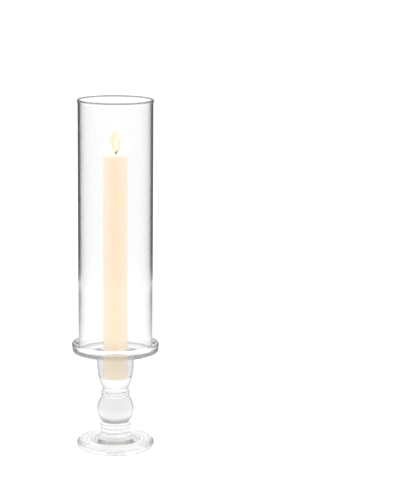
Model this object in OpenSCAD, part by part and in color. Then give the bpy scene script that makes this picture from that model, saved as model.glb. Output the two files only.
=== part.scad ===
// Hurricane candle lantern: a pressed glass candlestick with a plate, a straight glass
// chimney that stands on the plate, and a straight-sided taper candle with its wick.
// Millimetres, +Z up. The origin is on the axis, at the surface that the foot stands on.

/* [Candle] */
// Diameter of the candle, the standard seven eighths of an inch
candle_d = 22; // [18:0.5:27]
// Length of the candle from its flat bottom to its burned top
candle_l = 207; // [120:1:250]
// Radius of the softened edge round the burned top
candle_shoulder_r = 1.2; // [0.4:0.1:3]
// Depth of the shallow pool of melted wax round the wick
pool_depth = 0.9; // [0.3:0.1:2]
// Diameter of the pool of melted wax
pool_d = 15; // [8:0.5:16]

/* [Wick] */
// Diameter of the braided wick
wick_d = 1.4; // [1:0.1:2.4]
// Height of the wick's straight stretch above the bottom of the wax pool
wick_stand = 0.5; // [0.2:0.1:4]
// Radius that the burned end of the wick curls over on
wick_curl_r = 4; // [2.5:0.1:8]
// How far round the burned end curls
wick_curl_deg = 60; // [20:1:85]

/* [Socket and cup] */
// Gap between the candle and the wall of its socket
candle_gap = 0.5; // [0.3:0.05:1.5]
// Depth of the socket below the plate
socket_depth = 29; // [20:0.5:40]
// Size of the bevel round the mouth of the socket
socket_bevel = 0.8; // [0.2:0.1:2]
// Thickness of the glass round the socket at the cup's widest
cup_wall = 5.4; // [3.5:0.1:8]
// Height of solid glass between the throat and the bottom of the socket
cup_base_h = 10.5; // [7:0.5:18]
// How far the cup flares out where it meets the plate
flare_out = 2.8; // [1:0.1:6]
// Height of that flare
flare_h = 7; // [3:0.5:12]
// Height of the straight stretch of the cup below the flare
cup_straight_h = 4; // [1:0.5:8]

/* [Plate] */
// Thickness of the plate under the chimney
plate_t = 4.5; // [3:0.1:8]
// Height of the plate's raised rim above the plate
rim_h = 4; // [2:0.1:8]
// Width of the raised rim where it meets the plate
rim_w = 4.5; // [3:0.1:8]
// How far the inner face of the raised rim leans out
rim_slope = 1.2; // [0.4:0.1:2]
// Depth of the groove between the two beads of the plate's edge
edge_groove = 0.9; // [0.3:0.1:2]
// Play between the chimney and the raised rim
chimney_play = 1.5; // [0.5:0.1:4]

/* [Chimney] */
// Outside diameter of the glass chimney
chimney_d = 68; // [52:1:90]
// Length of the chimney, about nine inches
chimney_l = 227.5; // [150:0.5:300]
// Wall of the chimney
chimney_wall = 2; // [1.5:0.1:4]
// How far the polished lip stands out at the top
lip_out = 0.7; // [0.2:0.1:2]
// Height of the flare that leads to the lip
lip_h = 3; // [1.5:0.1:8]

/* [Stem] */
// Diameter of the throat, the narrowest place under the cup
throat_d = 24; // [18:0.5:30]
// Height of the throat between the neck rings and the cup
throat_h = 2.4; // [1.5:0.1:6]
// Diameter of the two neck rings
neck_ring_d = 26.4; // [24:0.2:34]
// Height of each neck ring
neck_ring_h = 2.8; // [1.5:0.1:5]
// Depth of the grooves between and below the neck rings
neck_groove = 0.8; // [0.3:0.1:2]
// Diameter of the round knop
knop_d = 34; // [30:0.1:44]
// Height of the knop
knop_h = 23; // [16:0.5:34]
// Diameter of the neck between the knop and the collar
neck_d = 26.6; // [22:0.2:29]
// Height of that neck
neck_h = 2.5; // [1:0.1:6]
// Diameter of the collar that ends the stem
collar_d = 29; // [27.4:0.2:36]
// Height of the collar
collar_h = 5; // [3:0.1:8]

/* [Foot] */
// Diameter of the foot
foot_d = 72; // [58:1:100]
// Thickness of the foot's round edge
foot_edge_h = 8; // [5:0.5:12]
// Width of the round edge, seen from above
foot_edge_w = 4.8; // [3:0.1:7]
// Depth of the step from the round edge down to the flat ring
foot_step = 0.8; // [0.3:0.1:2]
// Diameter of the low dome that carries the stem
dome_d = 44; // [40:1:52]
// Height of the dome from its step to the collar
dome_h = 9; // [6:0.5:15]
// Width of the flat ring that the foot stands on
rest_w = 6; // [3:0.5:8]
// How far the standing ring is set in from the foot's outer edge
rest_inset = 3; // [1:0.5:5]
// Height of the shallow hollow under the foot
hollow_h = 3; // [1:0.5:3.5]
// Width of the round edge of that hollow
hollow_edge_w = 5; // [2:0.5:8]

/* [Hidden] */
$fn = 96;

// Flat facets that each turned arc of the candlestick is cut into
arc_steps = 6;
// Largest size of the small bevels that break the edges of the chimney's two ends
max_end_bevel = 0.5;

// Radii of the candlestick, from the candle and the chimney that it holds
socket_r = candle_d / 2 + candle_gap;
cup_r = socket_r + cup_wall;
flare_r = cup_r + flare_out;
rim_inner_r = chimney_d / 2 + chimney_play;
plate_r = rim_inner_r + rim_w;
lower_bead_r = plate_r - edge_groove / 2;
foot_r = foot_d / 2;
rest_outer_r = foot_r - rest_inset;
hollow_r = rest_outer_r - rest_w;
ring_groove_r = neck_ring_d / 2 - neck_groove;

// Heights of the candlestick, added up from the foot
flat_ring_z = foot_edge_h - foot_step;
collar_z = foot_edge_h + dome_h;
neck_z = collar_z + collar_h;
knop_z = neck_z + neck_h;
rings_z = knop_z + knop_h;
throat_z = rings_z + 2 * neck_ring_h + throat_h;
socket_z = throat_z + cup_base_h;
plate_z = socket_z + socket_depth;
plate_bottom_z = plate_z - plate_t;
rim_z = plate_z + rim_h;
flare_z = plate_bottom_z - flare_h;
bead_h = (plate_t + rim_h) / 4;
chimney_end_bevel = min(max_end_bevel, chimney_wall / 4);
candle_top_z = socket_z + candle_l;
pool_z = candle_top_z - pool_depth;
wick_curl_z = pool_z + wick_stand;

// Shallow circular arc from the point p to the point w, where the outline stands upright
function arc_points(p, w) =
    let (d = w - p)
    let (r = d * d / (2 * d.x))
    let (sweep = atan2(-d.y / r, 1 - d.x / r))
    [for (i = [0:arc_steps])
        let (a = sweep * (1 - i / arc_steps))
        w + r * [cos(a) - 1, sin(a)]];

// Quarter of an ellipse that leaves the point p level and stands upright at the point w
function quarter_points(p, w) =
    [for (i = [0:arc_steps])
        let (a = 90 * i / arc_steps)
        [p.x + (w.x - p.x) * sin(a), w.y + (p.y - w.y) * cos(a)]];

// A list of points without its first, which the outline before it already holds
function after_first(points) = [for (i = [1:len(points) - 1]) points[i]];

// The same points in the other order
function reversed(points) = [for (i = [len(points) - 1:-1:0]) points[i]];

// A long swell: from p by a circular arc to the upright point w, and on to q
function swell(p, w, q) = concat(
    after_first(arc_points(p, w)),
    after_first(reversed(arc_points(q, w))));

// A round bead: from p by a quarter ellipse to the upright point w, and on to q
function bead(p, w, q) = concat(
    after_first(quarter_points(p, w)),
    after_first(reversed(quarter_points(q, w))));

// A bead whose two ends stand at the same radius, from height z over the height h
function even_bead(end_r, r, z, h) = bead([end_r, z], [r, z + h / 2], [end_r, z + h]);

// Hollow, standing ring, round edge, flat ring and dome of the foot
function foot_outline() = concat(
    [[0, hollow_h], [hollow_r - hollow_edge_w, hollow_h]],
    after_first(quarter_points([hollow_r - hollow_edge_w, hollow_h], [hollow_r, 0])),
    [[rest_outer_r, 0]],
    bead([rest_outer_r, 0], [foot_r, foot_edge_h / 2], [foot_r - foot_edge_w, foot_edge_h]),
    [[foot_r - foot_edge_w - foot_step, flat_ring_z],
        [dome_d / 2 + foot_step, flat_ring_z],
        [dome_d / 2, foot_edge_h]],
    after_first(quarter_points([dome_d / 2, foot_edge_h], [neck_d / 2, collar_z])));

// Collar, neck, knop and the two neck rings
function stem_outline() = concat(
    even_bead(neck_d / 2, collar_d / 2, collar_z, collar_h),
    [[neck_d / 2, knop_z]],
    swell([neck_d / 2, knop_z], [knop_d / 2, knop_z + knop_h / 2], [ring_groove_r, rings_z]),
    even_bead(ring_groove_r, neck_ring_d / 2, rings_z, neck_ring_h),
    even_bead(ring_groove_r, neck_ring_d / 2, rings_z + neck_ring_h, neck_ring_h));

// Throat, cup, and the flare where the cup meets the plate
function cup_outline() = concat(
    [[throat_d / 2, throat_z]],
    after_first(arc_points([throat_d / 2, throat_z], [cup_r, flare_z - cup_straight_h])),
    [[cup_r, flare_z]],
    after_first(reversed(quarter_points([flare_r, plate_bottom_z], [cup_r, flare_z]))));

// Underside, double bead of the edge, raised rim and floor of the plate
function plate_outline() = concat(
    [[lower_bead_r - bead_h, plate_bottom_z]],
    bead([lower_bead_r - bead_h, plate_bottom_z], [lower_bead_r, plate_bottom_z + bead_h],
        [plate_r - edge_groove, plate_bottom_z + 2 * bead_h]),
    bead([plate_r - edge_groove, plate_bottom_z + 2 * bead_h], [plate_r, rim_z - bead_h],
        [plate_r - bead_h, rim_z]),
    [[rim_inner_r + rim_slope, rim_z], [rim_inner_r, plate_z]]);

// Bevelled mouth, wall and flat bottom of the candle socket
function socket_outline() = [
    [socket_r + socket_bevel, plate_z],
    [socket_r, plate_z - socket_bevel],
    [socket_r, socket_z],
    [0, socket_z]];

// One piece of pressed glass: foot, stem, cup and plate
module candlestick() {
    color("lightcyan", 0.5)
        rotate_extrude()
            polygon(concat(foot_outline(), stem_outline(), cup_outline(), plate_outline(), socket_outline()));
}

// Straight glass tube, open at both ends, with a polished lip that flares a little
module chimney() {
    r = chimney_d / 2;
    inner_r = r - chimney_wall;
    e = chimney_end_bevel;
    color("white", 0.35)
        translate([0, 0, plate_z])
            rotate_extrude()
                polygon([
                    [inner_r + e, 0],
                    [r - e, 0],
                    [r, e],
                    [r, chimney_l - lip_h],
                    [r + lip_out, chimney_l - e],
                    [r + lip_out - e, chimney_l],
                    [inner_r + lip_out + e, chimney_l],
                    [inner_r + lip_out, chimney_l - e],
                    [inner_r, chimney_l - lip_h],
                    [inner_r, e]]);
}

// Candle with a softened burned edge, a shallow wax pool and the hole that its wick fills
module taper_candle() {
    r = candle_d / 2;
    s = candle_shoulder_r;
    shoulder = reversed(quarter_points([r - s, candle_l], [r, candle_l - s]));
    color("bisque")
        translate([0, 0, socket_z])
            rotate_extrude()
                polygon(concat(
                    [[wick_d / 2, 0], [r, 0]],
                    shoulder,
                    [[pool_d / 2, candle_l], [pool_d / 2 - pool_depth, candle_l - pool_depth]],
                    [[wick_d / 2, candle_l - pool_depth]]));
}

// Braided wick from the candle's bottom to its curled, burned end
module wick() {
    color("saddlebrown") {
        translate([0, 0, socket_z])
            cylinder(d = wick_d, h = wick_curl_z - socket_z);
        translate([wick_curl_r, 0, wick_curl_z])
            rotate([90, 0, 0])
                rotate_extrude(angle = wick_curl_deg, start = 180 - wick_curl_deg)
                    translate([wick_curl_r, 0])
                        circle(d = wick_d);
    }
}

candlestick();
chimney();
taper_candle();
wick();
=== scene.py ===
import math

import bpy
from mathutils import Matrix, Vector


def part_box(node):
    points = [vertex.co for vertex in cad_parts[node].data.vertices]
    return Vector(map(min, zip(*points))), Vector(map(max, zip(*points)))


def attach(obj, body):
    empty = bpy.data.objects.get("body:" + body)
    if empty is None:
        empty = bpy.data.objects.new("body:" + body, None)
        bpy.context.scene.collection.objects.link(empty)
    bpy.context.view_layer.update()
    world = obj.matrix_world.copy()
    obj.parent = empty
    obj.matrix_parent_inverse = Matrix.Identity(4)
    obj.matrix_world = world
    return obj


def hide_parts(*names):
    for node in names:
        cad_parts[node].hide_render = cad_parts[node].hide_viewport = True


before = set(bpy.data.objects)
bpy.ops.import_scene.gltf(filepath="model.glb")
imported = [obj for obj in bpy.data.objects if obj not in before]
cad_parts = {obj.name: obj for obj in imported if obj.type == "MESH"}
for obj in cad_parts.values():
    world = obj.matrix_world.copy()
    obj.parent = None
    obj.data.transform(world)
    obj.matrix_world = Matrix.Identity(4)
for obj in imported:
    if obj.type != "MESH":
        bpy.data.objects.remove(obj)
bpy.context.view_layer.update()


# ---------------------------------------------------------------------------------------
# Candlestick. One piece of clear pressed glass: foot, collar, knop, two neck rings, cup
# and plate. It is pressed in a mould and fire polished, which leaves every corner a
# little round and the surface faintly uneven. It stands on the ring under its foot.
# ---------------------------------------------------------------------------------------
MM = 0.001
stick_lo, stick_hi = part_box("candlestick")
tube_lo, tube_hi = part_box("chimney")
wax_lo, wax_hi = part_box("taper_candle")

# Heights and radii in millimetres, as the moulded piece is drawn
socket_z = wax_lo.z / MM
plate_z = tube_lo.z / MM
rim_z = stick_hi.z / MM
plate_r = min(stick_hi.x, stick_hi.y, -stick_lo.x, -stick_lo.y) / MM
plate_t = 4.5
plate_bottom_z = plate_z - plate_t
candle_gap = 0.5
socket_r = wax_hi.y / MM + candle_gap


def level_to_upright(p, w, n=12):
    """A quarter of an ellipse that leaves p level and stands upright at w."""
    turns = [math.pi / 2 * i / n for i in range(n + 1)]
    return [(p[0] + (w[0] - p[0]) * math.sin(a), w[1] + (p[1] - w[1]) * math.cos(a)) for a in turns]


def upright_to_level(w, p, n=12):
    """The same quarter, drawn the other way."""
    return level_to_upright(p, w, n)[::-1]


def arc_to_upright(p, w, n=16):
    """A shallow circular arc from p to w, where it stands upright."""
    dx, dz = w[0] - p[0], w[1] - p[1]
    r = (dx * dx + dz * dz) / (2 * dx)
    sweep = math.atan2(-dz / r, 1 - dx / r)
    turns = [sweep * (1 - i / n) for i in range(n + 1)]
    return [(w[0] + r * (math.cos(a) - 1), w[1] + r * math.sin(a)) for a in turns]


def bead(p, w, q, n=8):
    """A round bead from p, upright at w, and back to q."""
    return level_to_upright(p, w, n) + upright_to_level(w, q, n)


def softened(outline, radius, sharp_deg=24, n=4):
    """The outline with each sharp corner rounded off, as fire polishing leaves it."""
    same_place = 0.02
    most_of_a_side = 0.45
    kept = [outline[0]]
    for p in outline[1:]:
        if math.dist(p, kept[-1]) > same_place:
            kept.append(p)
    made = [kept[0]]
    for a, b, c in zip(kept, kept[1:], kept[2:]):
        before = math.atan2(b[1] - a[1], b[0] - a[0])
        after = math.atan2(c[1] - b[1], c[0] - b[0])
        turn = abs((after - before + math.pi) % (2 * math.pi) - math.pi)
        if math.degrees(turn) < sharp_deg:
            made.append(b)
            continue
        s = min(radius, most_of_a_side * math.dist(a, b), most_of_a_side * math.dist(b, c))
        u = [b[k] + (a[k] - b[k]) * s / math.dist(a, b) for k in (0, 1)]
        v = [b[k] + (c[k] - b[k]) * s / math.dist(b, c) for k in (0, 1)]
        for i in range(n + 1):
            t = i / n
            made.append(tuple((1 - t) ** 2 * u[k] + 2 * t * (1 - t) * b[k] + t * t * v[k] for k in (0, 1)))
    made.append(kept[-1])
    return made


def turned(name, outline, steps, smooth_deg=40):
    """A closed solid of revolution: one vertex drawn out along the outline, then spun."""
    bpy.ops.object.select_all(action="DESELECT")
    bpy.ops.mesh.primitive_plane_add(size=MM)
    piece = bpy.context.object
    piece.name = piece.data.name = name
    bpy.ops.object.mode_set(mode="EDIT")
    bpy.ops.mesh.select_all(action="SELECT")
    bpy.ops.mesh.merge(type="CENTER")
    bpy.ops.transform.translate(value=(outline[0][0] * MM, 0, outline[0][1] * MM))
    for p, q in zip(outline, outline[1:]):
        step = ((q[0] - p[0]) * MM, 0, (q[1] - p[1]) * MM)
        bpy.ops.mesh.extrude_region_move(TRANSFORM_OT_translate={"value": step})
    bpy.ops.mesh.select_all(action="SELECT")
    bpy.ops.mesh.spin(steps=steps, angle=2 * math.pi, center=(0, 0, 0), axis=(0, 0, 1))
    bpy.ops.mesh.select_all(action="SELECT")
    bpy.ops.mesh.remove_doubles(threshold=MM / 500)
    bpy.ops.mesh.normals_make_consistent(inside=False)
    bpy.ops.object.mode_set(mode="OBJECT")
    bpy.ops.object.shade_smooth_by_angle(angle=math.radians(smooth_deg))
    return piece


# Foot: a shallow hollow below, the ring it rests on, a round edge, a sunk ring and a dome
hollow_flat_r, hollow_r, hollow_h = 22, 27, 3
rest_outer_r = 33
foot_r, foot_top_r, foot_edge_h = 36, 31.2, 8
sunk_outer_r, sunk_inner_r, sunk_z = 30.4, 22.8, 7.2
dome_r, neck_r, collar_z = 22, 13.3, 17
stick_outline = [(0, hollow_h), (hollow_flat_r, hollow_h)]
stick_outline += level_to_upright((hollow_flat_r, hollow_h), (hollow_r, 0), 8)
stick_outline += [(rest_outer_r, 0)]
stick_outline += bead((rest_outer_r, 0), (foot_r, foot_edge_h / 2), (foot_top_r, foot_edge_h), 14)
stick_outline += [(sunk_outer_r, sunk_z), (sunk_inner_r, sunk_z)]
stick_outline += level_to_upright((dome_r, foot_edge_h), (neck_r, collar_z), 16)

# Collar, the knop between two narrow necks, and two neck rings
collar_r, collar_h = 14.5, 5
knop_r, knop_z, knop_h = 17, 24.5, 23
ring_r, ring_groove_r, ring_h = 13.2, 12.4, 2.8
collar_top_z = collar_z + collar_h
knop_wide_z = knop_z + knop_h / 2
rings_z = knop_z + knop_h
stick_outline += bead((neck_r, collar_z), (collar_r, collar_z + collar_h / 2), (neck_r, collar_top_z), 9)
stick_outline += arc_to_upright((neck_r, knop_z), (knop_r, knop_wide_z), 20)
stick_outline += arc_to_upright((ring_groove_r, rings_z), (knop_r, knop_wide_z), 20)[::-1]
for low in (rings_z, rings_z + ring_h):
    stick_outline += bead((ring_groove_r, low), (ring_r, low + ring_h / 2), (ring_groove_r, low + ring_h))

# Throat, and the cup that swells, runs straight and flares out into the plate
throat_r, throat_z = 12, 55.5
cup_r, cup_wide_z, cup_straight_h, flare_r = 16.9, 79.5, 4, 19.7
stick_outline += arc_to_upright((throat_r, throat_z), (cup_r, cup_wide_z), 20)
stick_outline += upright_to_level((cup_r, cup_wide_z + cup_straight_h), (flare_r, plate_bottom_z), 10)

# Plate: two beads round its edge, the rim, the flat floor, and the socket's eased mouth
bead_h = (rim_z - plate_bottom_z) / 4
underside_r, lower_bead_r, edge_groove_r = 37.425, 39.55, 39.1
edge_groove_z = plate_bottom_z + 2 * bead_h
rim_top_r, rim_inner_r = 36.7, 35.5
mouth = 0.8
edge_groove = (edge_groove_r, edge_groove_z)
stick_outline += bead(
    (underside_r, plate_bottom_z), (lower_bead_r, plate_bottom_z + bead_h), edge_groove, 10)
stick_outline += bead(edge_groove, (plate_r, rim_z - bead_h), (plate_r - bead_h, rim_z), 10)
stick_outline += [(rim_top_r, rim_z), (rim_inner_r, plate_z), (socket_r + mouth, plate_z)]
stick_outline += [(socket_r, plate_z - mouth), (socket_r, socket_z), (0, socket_z)]
candlestick = turned("candlestick_glass", softened(stick_outline, radius=0.45), steps=160)


def node(tree, kind, place, **inputs):
    """A node at a place on the sheet, with its named inputs set."""
    made = tree.nodes.new(kind)
    made.location = place
    for key, value in inputs.items():
        made.inputs[key.replace("_", " ")].default_value = value
    return made


def ramp(tree, place, *marks):
    """A colour ramp from pairs of a position and a colour, lowest first."""
    made = node(tree, "ShaderNodeValToRGB", place)
    ends = made.color_ramp.elements
    ends[0].position, ends[1].position = marks[0][0], marks[-1][0]
    ends[0].color, ends[1].color = (*marks[0][1], 1), (*marks[-1][1], 1)
    for position, colour in marks[1:-1]:
        made.color_ramp.elements.new(position).color = (*colour, 1)
    return made


def colour_mix(tree, place, factor, first, second, blend="MIX"):
    """Two colours mixed. Each input is a value or another node's output."""
    made = node(tree, "ShaderNodeMix", place)
    made.data_type = "RGBA"
    made.blend_type = blend
    for given, socket in ((factor, made.inputs["Factor"]), (first, made.inputs[6]), (second, made.inputs[7])):
        if isinstance(given, bpy.types.NodeSocket):
            tree.links.new(given, socket)
        else:
            socket.default_value = (*given, 1) if isinstance(given, tuple) else given
    return made.outputs[2]


def ripple_group():
    """Fire-polished skin: long soft waves and fine pits in, a height and a 0 to 1 mask out."""
    tree = bpy.data.node_groups.new("fire polished skin", "ShaderNodeTree")
    face = tree.interface
    for label, usual in (("Wave Scale", 40.0), ("Pit Scale", 900.0), ("Pit Share", 0.1)):
        socket = face.new_socket(label, in_out="INPUT", socket_type="NodeSocketFloat")
        socket.default_value = usual
    face.new_socket("Height", in_out="OUTPUT", socket_type="NodeSocketFloat")
    face.new_socket("Mask", in_out="OUTPUT", socket_type="NodeSocketFloat")
    given = node(tree, "NodeGroupInput", (-800, 0))
    out = node(tree, "NodeGroupOutput", (400, 0))
    place = node(tree, "ShaderNodeTexCoord", (-800, -250))
    wave = node(tree, "ShaderNodeTexNoise", (-500, 150), Detail=1.0, Roughness=0.4)
    pit = node(tree, "ShaderNodeTexNoise", (-500, -150), Detail=3.0, Roughness=0.6)
    mix = node(tree, "ShaderNodeMix", (-150, 0))
    link = tree.links.new
    link(place.outputs["Object"], wave.inputs["Vector"])
    link(place.outputs["Object"], pit.inputs["Vector"])
    link(given.outputs["Wave Scale"], wave.inputs["Scale"])
    link(given.outputs["Pit Scale"], pit.inputs["Scale"])
    link(given.outputs["Pit Share"], mix.inputs["Factor"])
    link(wave.outputs["Fac"], mix.inputs["A"])
    link(pit.outputs["Fac"], mix.inputs["B"])
    link(mix.outputs["Result"], out.inputs["Height"])
    link(pit.outputs["Fac"], out.inputs["Mask"])
    return tree


skin = ripple_group()


def clear_glass(name, tints, wave_scale, bump_mm, absorb, density):
    """Clear polished glass with a wavy skin, two close tints and a trace of absorption."""
    glass = bpy.data.materials.new(name)
    glass.use_nodes = True
    tree = glass.node_tree
    shader = tree.nodes["Principled BSDF"]
    shader.inputs["Metallic"].default_value = 0.0
    shader.inputs["Transmission Weight"].default_value = 1.0
    shader.inputs["IOR"].default_value = 1.5
    surface = node(tree, "ShaderNodeGroup", (-900, 0))
    surface.node_tree = skin
    surface.inputs["Wave Scale"].default_value = wave_scale
    tint = ramp(tree, (-550, 250), (0.35, tints[0]), (0.65, tints[1]))
    gloss = node(tree, "ShaderNodeMapRange", (-550, 0), From_Min=0.3, From_Max=0.7, To_Min=0.0, To_Max=0.02)
    bump = node(tree, "ShaderNodeBump", (-250, -250), Strength=1.0, Distance=bump_mm * MM)
    soak = node(tree, "ShaderNodeVolumeAbsorption", (50, -400), Color=(*absorb, 1), Density=density)
    link = tree.links.new
    link(surface.outputs["Mask"], tint.inputs["Fac"])
    link(surface.outputs["Mask"], gloss.inputs["Value"])
    link(surface.outputs["Height"], bump.inputs["Height"])
    link(tint.outputs["Color"], shader.inputs["Base Color"])
    link(gloss.outputs["Result"], shader.inputs["Roughness"])
    link(bump.outputs["Normal"], shader.inputs["Normal"])
    link(soak.outputs["Volume"], tree.nodes["Material Output"].inputs["Volume"])
    return glass


pressed_glass = clear_glass(
    "pressed_glass", tints=((0.97, 0.98, 0.975), (1.0, 1.0, 1.0)), wave_scale=45.0, bump_mm=0.5,
    absorb=(0.50, 0.52, 0.51), density=16.0)
# The knop is the thickest glass in the piece, and its tint is painted a shade greyer than the rest: painted
# shade for the light lost in it
knop_fade_lo, knop_fade_hi = 20, 52
clear, painted_knop_shade = (1, 1, 1), (0.94, 0.945, 0.945)
tree = pressed_glass.node_tree
link = tree.links.new
shader = tree.nodes["Principled BSDF"]
plain_tint = shader.inputs["Base Color"].links[0].from_socket
place = node(tree, "ShaderNodeTexCoord", (-1100, 600))
axes = node(tree, "ShaderNodeSeparateXYZ", (-900, 600))
knop_span = node(tree, "ShaderNodeMapRange", (-650, 600),
                 From_Min=knop_fade_lo * MM, From_Max=knop_fade_hi * MM)
knop_shade_ramp = ramp(tree, (-400, 600), (0.06, clear), (0.2, painted_knop_shade), (0.8, painted_knop_shade), (0.94, clear))
link(place.outputs["Object"], axes.inputs["Vector"])
link(axes.outputs["Z"], knop_span.inputs["Value"])
link(knop_span.outputs["Result"], knop_shade_ramp.inputs["Fac"])
knop_tint = colour_mix(tree, (-200, 450), 1.0, plain_tint, knop_shade_ramp.outputs["Color"], "MULTIPLY")
# Painted shade: an upright surface seen edge on is tinted dark, to stand for the light having come a long way
# through glass there
painted_edge_shade = (0.06, 0.062, 0.062)
glancing = node(tree, "ShaderNodeLayerWeight", (-400, 850), Blend=0.5)
outline = node(tree, "ShaderNodeMapRange", (-200, 850), From_Min=0.5, From_Max=0.88)
slope = node(tree, "ShaderNodeSeparateXYZ", (-900, 1000))
level = node(tree, "ShaderNodeMath", (-700, 1000))
level.operation = "ABSOLUTE"
upright = node(tree, "ShaderNodeMapRange", (-500, 1000), From_Min=0.45, From_Max=0.85, To_Min=1.0, To_Max=0.0)
on_sides = node(tree, "ShaderNodeMath", (-100, 1000))
on_sides.operation = "MULTIPLY"
link(place.outputs["Normal"], slope.inputs["Vector"])
link(slope.outputs["Z"], level.inputs[0])
link(level.outputs[0], upright.inputs["Value"])
link(glancing.outputs["Facing"], outline.inputs["Value"])
link(upright.outputs["Result"], on_sides.inputs[0])
link(outline.outputs["Result"], on_sides.inputs[1])
edge_shade_tint = colour_mix(tree, (0, 600), on_sides.outputs[0], knop_tint, painted_edge_shade)
link(edge_shade_tint, shader.inputs["Base Color"])
candlestick.data.materials.append(pressed_glass)
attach(candlestick, "candlestick")
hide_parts("candlestick")


# ---------------------------------------------------------------------------------------
# Chimney. A straight tube of clear drawn glass, cut to length, its bottom edge ground
# and polished and its top edge melted back into a small outward lip. It only stands on
# the plate, inside the raised rim, and lifts straight off.
# ---------------------------------------------------------------------------------------
tube_r = 34.0
tube_wall = 2.0
inner_r = tube_r - tube_wall
lip_out = tube_hi.x / MM - tube_r
lip_r = tube_r + lip_out
lip_h = 4.2
lip_round = 1.0
ground_edge = 0.5
stand_gap = 0.04
low_z = tube_lo.z / MM + stand_gap
top_z = tube_hi.z / MM
# The straight wall has a ring of points this far from each end
wall_ring = 60


def lip_flare(wall_r, shares):
    """The wall swelling outwards into the lip, at these shares of the lip's height."""
    rise = lip_h - lip_round
    return [(wall_r + lip_out * (3 * t * t - 2 * t ** 3), top_z - lip_h + rise * t) for t in shares]


flare_shares = [i / 8 for i in range(9)]
tube_outline = [(inner_r + ground_edge, low_z), (tube_r - ground_edge, low_z)]
tube_outline += level_to_upright((tube_r - ground_edge, low_z), (tube_r, low_z + ground_edge), 5)
tube_outline += [(tube_r, low_z + wall_ring), (tube_r, top_z - wall_ring)]
tube_outline += lip_flare(tube_r, flare_shares)
tube_outline += upright_to_level((lip_r, top_z - lip_round), (lip_r - lip_round, top_z), 8)
tube_outline += level_to_upright((lip_r - lip_round, top_z), (lip_r - 2 * lip_round, top_z - lip_round), 8)
tube_outline += lip_flare(inner_r, flare_shares[::-1])
tube_outline += [(inner_r, top_z - wall_ring), (inner_r, low_z + wall_ring)]
tube_outline += upright_to_level((inner_r, low_z + ground_edge), (inner_r + ground_edge, low_z), 5)
chimney = turned("chimney_glass", softened(tube_outline, radius=0.1, sharp_deg=60), steps=256)

tube_glass = clear_glass(
    "tube_glass", tints=((0.96, 0.965, 0.963), (0.98, 0.985, 0.983)), wave_scale=14.0, bump_mm=0.25,
    absorb=(0.9, 0.95, 0.93), density=2.0)
# Painted shade: the melted lip and the ground bottom edge are tinted darker than the drawn wall
painted_end_shade = (0.25, 0.26, 0.26)
lip_fade_lo, lip_fade_hi = top_z - 1.7, top_z - 0.9
ground_fade_lo, ground_fade_hi = low_z + 0.3, low_z + 0.9
tree = tube_glass.node_tree
link = tree.links.new
shader = tree.nodes["Principled BSDF"]
drawn_tint = shader.inputs["Base Color"].links[0].from_socket
place = node(tree, "ShaderNodeTexCoord", (-1100, 600))
axes = node(tree, "ShaderNodeSeparateXYZ", (-900, 600))
lip = node(tree, "ShaderNodeMapRange", (-650, 700), From_Min=lip_fade_lo * MM, From_Max=lip_fade_hi * MM)
ground = node(tree, "ShaderNodeMapRange", (-650, 450),
              From_Min=ground_fade_hi * MM, From_Max=ground_fade_lo * MM)
ends = node(tree, "ShaderNodeMath", (-400, 600))
ends.operation = "MAXIMUM"
link(place.outputs["Object"], axes.inputs["Vector"])
link(axes.outputs["Z"], lip.inputs["Value"])
link(axes.outputs["Z"], ground.inputs["Value"])
link(lip.outputs["Result"], ends.inputs[0])
link(ground.outputs["Result"], ends.inputs[1])
link(colour_mix(tree, (-200, 450), ends.outputs[0], drawn_tint, painted_end_shade), shader.inputs["Base Color"])
chimney.data.materials.append(tube_glass)
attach(chimney, "chimney")
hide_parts("chimney")


# ---------------------------------------------------------------------------------------
# Taper candle. Straight-sided cast wax, cream coloured, that slides into the socket with
# half a millimetre to spare. Its burned top has a soft shoulder and a shallow hollow
# that the flame has melted round the wick.
# ---------------------------------------------------------------------------------------
wax_r = wax_hi.y / MM
wax_top = wax_hi.z / MM
base_z = socket_z + 0.05
base_round = 0.6
shoulder_in, shoulder_down = 2.2, 1.6
pool_r = 7.5
pool_z = wax_top - 0.9
pool_floor_z = pool_z - 0.1
wax_outline = [(0, base_z), (wax_r - base_round, base_z)]
wax_outline += level_to_upright((wax_r - base_round, base_z), (wax_r, base_z + base_round), 5)
wax_outline += [(wax_r, socket_z + height) for height in range(20, 200, 20)]
wax_outline += upright_to_level((wax_r, wax_top - shoulder_down), (wax_r - shoulder_in, wax_top), 10)
wax_outline += [(pool_r + 0.4, wax_top - 0.05), (pool_r - 0.3, wax_top - 0.45), (pool_r - 1.2, pool_z)]
wax_outline += [(2, pool_floor_z), (0, pool_floor_z)]
candle = turned("taper_wax", softened(wax_outline, radius=0.5, sharp_deg=15), steps=96)

wax = bpy.data.materials.new("wax")
wax.use_nodes = True
tree = wax.node_tree
link = tree.links.new
shader = tree.nodes["Principled BSDF"]
shader.inputs["Subsurface Weight"].default_value = 0.35
shader.inputs["Subsurface Radius"].default_value = (1.0, 0.55, 0.25)
shader.inputs["Subsurface Scale"].default_value = 3 * MM
shader.inputs["IOR"].default_value = 1.44
shader.inputs["Sheen Weight"].default_value = 1.0
shader.inputs["Sheen Roughness"].default_value = 0.45
shader.inputs["Sheen Tint"].default_value = (0.85, 0.98, 1.0, 1)
shader.inputs["Emission Strength"].default_value = 1.0
place = node(tree, "ShaderNodeTexCoord", (-1400, 0))
axes = node(tree, "ShaderNodeSeparateXYZ", (-1150, -350))
cloud = node(tree, "ShaderNodeTexNoise", (-1150, 200), Scale=120.0, Detail=4.0, Roughness=0.55)
cream = ramp(tree, (-850, 250), (0.3, (0.57, 0.465, 0.35)), (0.7, (0.58, 0.50, 0.39)))
haze = node(tree, "ShaderNodeMapRange", (-850, 0), From_Min=0.3, From_Max=0.7, To_Min=0.42, To_Max=0.58)
bump = node(tree, "ShaderNodeBump", (-300, -200), Strength=0.6, Distance=0.08 * MM)
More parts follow.
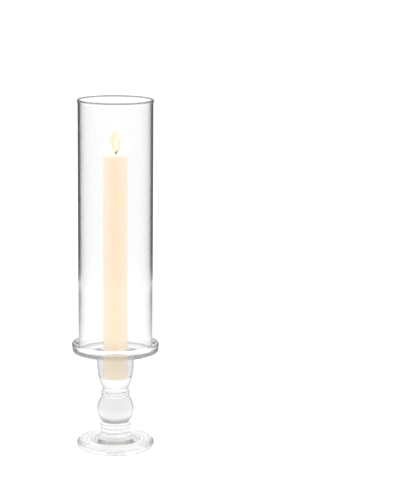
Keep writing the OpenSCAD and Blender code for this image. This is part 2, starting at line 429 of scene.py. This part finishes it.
# Painted light: the wax glows by itself, standing in for light from the flame and the room soaking through
# it, and is dimmest in the socket, painted shade there
glow = node(tree, "ShaderNodeMapRange", (-850, -350), From_Min=socket_z * MM, From_Max=(wax_top + 1) * MM)
warm = ramp(tree, (-550, -350),
            (0.0, (0.50, 0.41, 0.30)), (0.12, (0.53, 0.43, 0.29)), (0.18, (0.635, 0.50, 0.315)),
            (0.92, (0.635, 0.475, 0.29)), (0.972, (0.645, 0.49, 0.31)), (1.0, (0.68, 0.56, 0.46)))
link(place.outputs["Object"], cloud.inputs["Vector"])
link(place.outputs["Object"], axes.inputs["Vector"])
link(cloud.outputs["Fac"], cream.inputs["Fac"])
link(cloud.outputs["Fac"], haze.inputs["Value"])
link(cloud.outputs["Fac"], bump.inputs["Height"])
link(axes.outputs["Z"], glow.inputs["Value"])
link(glow.outputs["Result"], warm.inputs["Fac"])
link(cream.outputs["Color"], shader.inputs["Base Color"])
link(haze.outputs["Result"], shader.inputs["Roughness"])
link(bump.outputs["Normal"], shader.inputs["Normal"])
link(warm.outputs["Color"], shader.inputs["Emission Color"])
candle.data.materials.append(wax)
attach(candle, "candle")
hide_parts("taper_candle")


# ---------------------------------------------------------------------------------------
# Melted wax. The clear liquid that fills the hollow round the wick while the candle
# burns. It climbs a little up the hollow's side and up the wick.
# ---------------------------------------------------------------------------------------
melt_z = wax_top - 0.42
melt_low_z = melt_z - 0.08
melt_bottom_z = pool_z - 0.02
climb_z = melt_z + 0.25
melt_outline = [(0, melt_bottom_z), (pool_r - 1.3, melt_bottom_z), (pool_r - 0.45, wax_top - 0.38)]
melt_outline += [(pool_r - 1.0, melt_z - 0.03), (pool_r - 2.2, melt_low_z), (2.2, melt_low_z)]
melt_outline += [(1.3, melt_z), (0.9, climb_z), (0, climb_z)]
melt = turned("melted_wax", softened(melt_outline, radius=0.4, sharp_deg=10), steps=64)

liquid = bpy.data.materials.new("melted_wax")
liquid.use_nodes = True
tree = liquid.node_tree
link = tree.links.new
shader = tree.nodes["Principled BSDF"]
shader.inputs["IOR"].default_value = 1.43
# Painted light: the melted wax glows warm by itself, standing in for the flame's light in it
shader.inputs["Emission Color"].default_value = (1.0, 0.80, 0.56, 1)
shader.inputs["Emission Strength"].default_value = 0.55
place = node(tree, "ShaderNodeTexCoord", (-900, 0))
cloud = node(tree, "ShaderNodeTexNoise", (-700, 0), Scale=350.0, Detail=2.0)
amber = ramp(tree, (-400, 150), (0.3, (0.95, 0.82, 0.60)), (0.7, (1.0, 0.90, 0.72)))
wet = node(tree, "ShaderNodeMapRange", (-400, -150), To_Min=0.04, To_Max=0.12)
link(place.outputs["Object"], cloud.inputs["Vector"])
link(cloud.outputs["Fac"], amber.inputs["Fac"])
link(cloud.outputs["Fac"], wet.inputs["Value"])
link(amber.outputs["Color"], shader.inputs["Base Color"])
link(wet.outputs["Result"], shader.inputs["Roughness"])
melt.data.materials.append(liquid)
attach(melt, "candle")


# ---------------------------------------------------------------------------------------
# Wick. Three cotton strands twisted together, cast into the candle. The free end has
# burned dark brown and curls over, with a faintly glowing tip. The part inside the
# candle is straight.
# ---------------------------------------------------------------------------------------
wick_lo, wick_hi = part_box("wick")
wick_r = 0.66 * MM
wick_start = wick_lo.z + MM
hidden_end = wax_top * MM - 3 * MM
curl_start = wax_top * MM - 0.4 * MM
curl_r = 4 * MM
curl_deg = 57
curl_steps = 19
straight_steps = 12
twist = math.radians(14)
tip_step = (0.12 * MM, 0, 0.08 * MM)
tip_scale = 0.6
bpy.ops.object.select_all(action="DESELECT")
bpy.ops.mesh.primitive_circle_add(
    vertices=18, radius=wick_r, location=(0, 0, wick_start), fill_type="NGON")
wick = bpy.context.object
wick.name = wick.data.name = "wick_braid"
bpy.ops.object.transform_apply(location=True, rotation=True, scale=True)
# Press three grooves into the round, so that it reads as three strands
for vertex in wick.data.vertices:
    angle = math.atan2(vertex.co.y, vertex.co.x)
    lobe = 0.86 + 0.14 * abs(math.sin(1.5 * angle)) ** 0.7
    vertex.co.x *= lobe
    vertex.co.y *= lobe
bpy.ops.object.mode_set(mode="EDIT")
bpy.ops.mesh.select_all(action="SELECT")
bpy.ops.mesh.extrude_region_move(TRANSFORM_OT_translate={"value": (0, 0, hidden_end - wick_start)})
rise = (curl_start - hidden_end) / straight_steps
for i in range(straight_steps):
    bpy.ops.mesh.extrude_region_move(TRANSFORM_OT_translate={"value": (0, 0, rise)})
    bpy.ops.transform.rotate(value=twist, orient_axis="Z", center_override=(0, 0, curl_start))
for i in range(curl_steps):
    bpy.ops.mesh.extrude_region_move(TRANSFORM_OT_translate={"value": (0, 0, 0)})
    bpy.ops.transform.rotate(value=-math.radians(curl_deg / curl_steps), orient_axis="Y",
                             center_override=(curl_r, 0, curl_start))
bpy.ops.mesh.extrude_region_move(TRANSFORM_OT_translate={"value": tip_step})
bpy.ops.transform.resize(value=(tip_scale, tip_scale, tip_scale))
bpy.ops.object.mode_set(mode="OBJECT")
bpy.ops.object.shade_smooth_by_angle(angle=math.radians(60))

cotton = bpy.data.materials.new("wick_cotton")
cotton.use_nodes = True
tree = cotton.node_tree
link = tree.links.new
shader = tree.nodes["Principled BSDF"]
shader.inputs["Emission Strength"].default_value = 1.0
shader.inputs["Specular IOR Level"].default_value = 0.1
burn_from = (wax_top - 1.0) * MM
place = node(tree, "ShaderNodeTexCoord", (-1200, 0))
axes = node(tree, "ShaderNodeSeparateXYZ", (-950, 0))
burn = node(tree, "ShaderNodeMapRange", (-700, 150), From_Min=burn_from, From_Max=wick_hi.z)
char = ramp(tree, (-400, 250),
            (0.0, (0.55, 0.40, 0.24)), (0.35, (0.09, 0.06, 0.012)), (1.0, (0.045, 0.028, 0.004)))
ember = ramp(tree, (-400, -50), (0.7, (0, 0, 0)), (1.0, (0.30, 0.06, 0.01)))
fibre = node(tree, "ShaderNodeTexNoise", (-950, -350), Scale=4000.0, Detail=2.0)
fuzz = node(tree, "ShaderNodeMapRange", (-700, -250), From_Min=0.3, From_Max=0.7, To_Min=0.75, To_Max=1.0)
bump = node(tree, "ShaderNodeBump", (-250, -350), Strength=0.8, Distance=0.05 * MM)
link(place.outputs["Object"], axes.inputs["Vector"])
link(place.outputs["Object"], fibre.inputs["Vector"])
link(axes.outputs["Z"], burn.inputs["Value"])
link(burn.outputs["Result"], char.inputs["Fac"])
link(burn.outputs["Result"], ember.inputs["Fac"])
link(fibre.outputs["Fac"], bump.inputs["Height"])
link(fibre.outputs["Fac"], fuzz.inputs["Value"])
link(char.outputs["Color"], shader.inputs["Base Color"])
link(ember.outputs["Color"], shader.inputs["Emission Color"])
link(fuzz.outputs["Result"], shader.inputs["Roughness"])
link(bump.outputs["Normal"], shader.inputs["Normal"])
wick.data.materials.append(cotton)
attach(wick, "candle")
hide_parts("wick")


# ---------------------------------------------------------------------------------------
# Flame. Burning wax vapour round the wick's curled end: a thin pale outer veil, a warm
# body inside it, and a white-hot core. It goes wherever the candle goes.
# ---------------------------------------------------------------------------------------
flame_x = 0.5


def flame_shell(name, above_wax, height, width, lean, fullness, colours, alphas):
    """One teardrop shell of the flame, drawn to a point that leans sideways."""
    low = wax_top + above_wax
    n = 22
    drop = [(0, low)]
    for i in range(1, n):
        drop.append((width / 2 * math.sin(math.pi * (i / n) ** 0.85) ** fullness, low + height * i / n))
    drop.append((0, low + height))
    shell = turned(name, drop, steps=32)
    for vertex in shell.data.vertices:
        t = (vertex.co.z / MM - low) / height
        vertex.co.x += (flame_x + lean * t * t) * MM
    fire = bpy.data.materials.new(name)
    fire.use_nodes = True
    tree = fire.node_tree
    link = tree.links.new
    shader = tree.nodes["Principled BSDF"]
    shader.inputs["Base Color"].default_value = (0, 0, 0, 1)
    shader.inputs["Specular IOR Level"].default_value = 0.0
    shader.inputs["Roughness"].default_value = 1.0
    shader.inputs["Emission Strength"].default_value = 1.0
    place = node(tree, "ShaderNodeTexCoord", (-900, 0))
    axes = node(tree, "ShaderNodeSeparateXYZ", (-700, 0))
    climb = node(tree, "ShaderNodeMapRange", (-500, 0), From_Min=low * MM, From_Max=(low + height) * MM)
    hue = ramp(tree, (-250, 150), *zip((0.0, 0.5, 1.0), colours))
    veil = ramp(tree, (-250, -150), *zip((0.0, 0.5, 1.0), [(a, a, a) for a in alphas]))
    link(place.outputs["Object"], axes.inputs["Vector"])
    link(axes.outputs["Z"], climb.inputs["Value"])
    link(climb.outputs["Result"], hue.inputs["Fac"])
    link(climb.outputs["Result"], veil.inputs["Fac"])
    link(hue.outputs["Color"], shader.inputs["Emission Color"])
    link(veil.outputs["Color"], shader.inputs["Alpha"])
    shell.data.materials.append(fire)
    shell.visible_shadow = False
    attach(shell, "candle")


flame_shell("flame_veil", above_wax=-0.1, height=23.5, width=12.4, lean=-1.8, fullness=0.55,
            colours=((1.2, 1.1, 0.90), (1.15, 1.07, 0.78), (1.15, 1.07, 0.80)), alphas=(0.04, 0.26, 0.26))
flame_shell("flame_body", above_wax=1.6, height=19.0, width=8.0, lean=-2.0, fullness=0.55,
            colours=((1.12, 0.98, 0.52), (1.04, 0.84, 0.46), (1.10, 0.90, 0.58)), alphas=(0.32, 0.42, 0.30))
flame_shell("flame_core", above_wax=3.8, height=12.0, width=3.5, lean=0.2, fullness=0.60,
            colours=((1.2, 1.15, 0.85), (1.8, 1.8, 1.6), (1.3, 1.25, 1.1)), alphas=(0.8, 1.0, 0.85))


# ---------------------------------------------------------------------------------------
# Floor. A round sheet of matt white card under the candlestick, with some glow of its
# own, so that it merges with the room. To mirrored light it is brightest round the foot
# and fades away from it, which sets the pale and dark rings in the foot's glass.
# ---------------------------------------------------------------------------------------
floor_r, floor_drop = 0.75, 0.0002
own_glow, near_glow, far_glow = 0.8, 1.6, 0.5
near_r, far_r = 0.08, 0.2
bpy.ops.object.select_all(action="DESELECT")
bpy.ops.mesh.primitive_circle_add(
    vertices=96, radius=floor_r, location=(0, 0, -floor_drop), fill_type="NGON")
floor = bpy.context.object
floor.name = floor.data.name = "floor"
card = bpy.data.materials.new("white_card")
card.use_nodes = True
tree = card.node_tree
link = tree.links.new
shader = tree.nodes["Principled BSDF"]
shader.inputs["Specular IOR Level"].default_value = 0.1
shader.inputs["Emission Color"].default_value = (1, 1, 1, 1)
place = node(tree, "ShaderNodeTexCoord", (-900, 0))
path = node(tree, "ShaderNodeLightPath", (-900, -400))
reach = node(tree, "ShaderNodeVectorMath", (-900, -650))
reach.operation = "LENGTH"
fade = node(tree, "ShaderNodeMapRange", (-650, -650),
            From_Min=near_r, From_Max=far_r, To_Min=near_glow, To_Max=far_glow)
shine = node(tree, "ShaderNodeMapRange", (-400, -400), To_Min=own_glow)
grain = node(tree, "ShaderNodeTexNoise", (-700, 0), Scale=300.0, Detail=3.0)
pale = ramp(tree, (-400, 100), (0.0, (0.26, 0.252, 0.225)), (1.0, (0.32, 0.31, 0.277)))
matt = node(tree, "ShaderNodeMapRange", (-400, -150), To_Min=0.8, To_Max=1.0)
link(place.outputs["Object"], reach.inputs[0])
link(reach.outputs["Value"], fade.inputs["Value"])
link(path.outputs["Glossy Depth"], shine.inputs["Value"])
link(fade.outputs["Result"], shine.inputs["To Max"])
link(shine.outputs["Result"], shader.inputs["Emission Strength"])
link(place.outputs["Object"], grain.inputs["Vector"])
link(grain.outputs["Fac"], pale.inputs["Fac"])
link(grain.outputs["Fac"], matt.inputs["Value"])
link(pale.outputs["Color"], shader.inputs["Base Color"])
link(matt.outputs["Result"], shader.inputs["Roughness"])
floor.data.materials.append(card)


# ---------------------------------------------------------------------------------------
# Light. A room that the camera sees plain white. Mirrored light meets it dark low down,
# light that comes straight through glass meets it dimming upwards, and lit surfaces get
# a cool glow from both sides as well. One wide soft lamp hangs overhead.
# ---------------------------------------------------------------------------------------
room_white = 1.2
cool_glow = (3.0, 3.5, 5.6)
room = bpy.data.worlds.new("white_room")
bpy.context.scene.world = room
room.use_nodes = True
tree = room.node_tree
tree.nodes.clear()
link = tree.links.new
path = node(tree, "ShaderNodeLightPath", (-1100, 300))
place = node(tree, "ShaderNodeTexCoord", (-1300, -200))
axes = node(tree, "ShaderNodeSeparateXYZ", (-1100, -200))
height_of = node(tree, "ShaderNodeMapRange", (-1000, -350), From_Min=-1.0, From_Max=1.0)
link(place.outputs["Generated"], axes.inputs["Vector"])
link(axes.outputs["Z"], height_of.inputs["Value"])


def height_band(spot, tones):
    """A grey that follows the height of the direction looked in, from (height, tone) pairs."""
    band = ramp(tree, spot, *[((1 + height) / 2, (grey, grey, grey)) for height, grey in tones])
    link(height_of.outputs["Result"], band.inputs["Fac"])
    return band.outputs["Color"]


def above_half(spot, value):
    """1 where a count of bounces is one or more, and 0 at none."""
    made = node(tree, "ShaderNodeMath", spot)
    made.operation = "GREATER_THAN"
    made.inputs[1].default_value = 0.5
    link(value, made.inputs[0])
    return made.outputs[0]


mirrored = height_band((-900, -100), ((-0.5, 0.13), (-0.08, 0.13), (0.03, 0.6), (0.3, 1.0), (0.9, 1.1)))
straight = height_band((-900, -400), ((0.0, room_white), (0.1, room_white), (0.32, 0.5), (0.8, 0.28)))
sideways = node(tree, "ShaderNodeMath", (-900, 650))
sideways.operation = "ABSOLUTE"
side_glow = node(tree, "ShaderNodeMapRange", (-700, 650), From_Min=0.76, From_Max=0.97)
side_glow.interpolation_type = "SMOOTHSTEP"
link(axes.outputs["X"], sideways.inputs[0])
link(sideways.outputs[0], side_glow.inputs["Value"])
white = (room_white, room_white, room_white)
mirror_count = above_half((-800, 250), path.outputs["Glossy Depth"])
scatter_count = above_half((-800, 450), path.outputs["Diffuse Depth"])
through_glass = colour_mix(tree, (-550, -200), mirror_count, straight, mirrored)
lighting = colour_mix(tree, (-500, 650), side_glow.outputs["Result"], white, cool_glow)
unseen = colour_mix(tree, (-350, -100), scatter_count, through_glass, lighting)
seen = colour_mix(tree, (-150, 0), path.outputs["Is Camera Ray"], unseen, white)
shine = node(tree, "ShaderNodeBackground", (50, 0), Strength=1.0)
out = node(tree, "ShaderNodeOutputWorld", (250, 0))
link(seen, shine.inputs["Color"])
link(shine.outputs["Background"], out.inputs["Surface"])

# The lamp faces straight down, and its power is pi times its brightness times its area
lamp_side = 1.2
lamp_z = 1.5
lamp_bright = 0.6
lamp = bpy.data.lights.new("softbox_top", "AREA")
lamp.shape = "RECTANGLE"
lamp.size = lamp.size_y = lamp_side
lamp.energy = lamp_bright * math.pi * lamp_side * lamp_side
lamp.color = (0.94, 0.97, 1.0)
softbox = bpy.data.objects.new("softbox_top", lamp)
bpy.context.scene.collection.objects.link(softbox)
softbox.location = (0, 0, lamp_z)
softbox.visible_camera = False
softbox.visible_glossy = False

# Thick clear glass needs many bounces, or its inside goes black
scene = bpy.context.scene
scene.cycles.max_bounces = 32
scene.cycles.glossy_bounces = 16
scene.cycles.transmission_bounces = 24
scene.view_settings.view_transform = "Standard"


# ---------------------------------------------------------------------------------------
# Camera. A long lens in front of the lantern, higher than the chimney's top and looking
# down 11 degrees. It is turned a little to the right, so that the lantern stands left of
# the middle.
# ---------------------------------------------------------------------------------------
camera_y, camera_z = -1.615, 0.5006
look_down = math.radians(11.06)
look_right = math.radians(2.67735)
view = bpy.data.cameras.new("camera")
view.sensor_width = 36
view.lens = 130.104
view.clip_start, view.clip_end = 0.01, 50
camera = bpy.data.objects.new("camera", view)
scene.collection.objects.link(camera)
scene.camera = camera
stand = Matrix.Translation((0, camera_y, camera_z))
tilt = Matrix.Rotation(math.pi / 2 - look_down, 4, "X")
camera.matrix_world = stand @ tilt @ Matrix.Rotation(-look_right, 4, "Y")
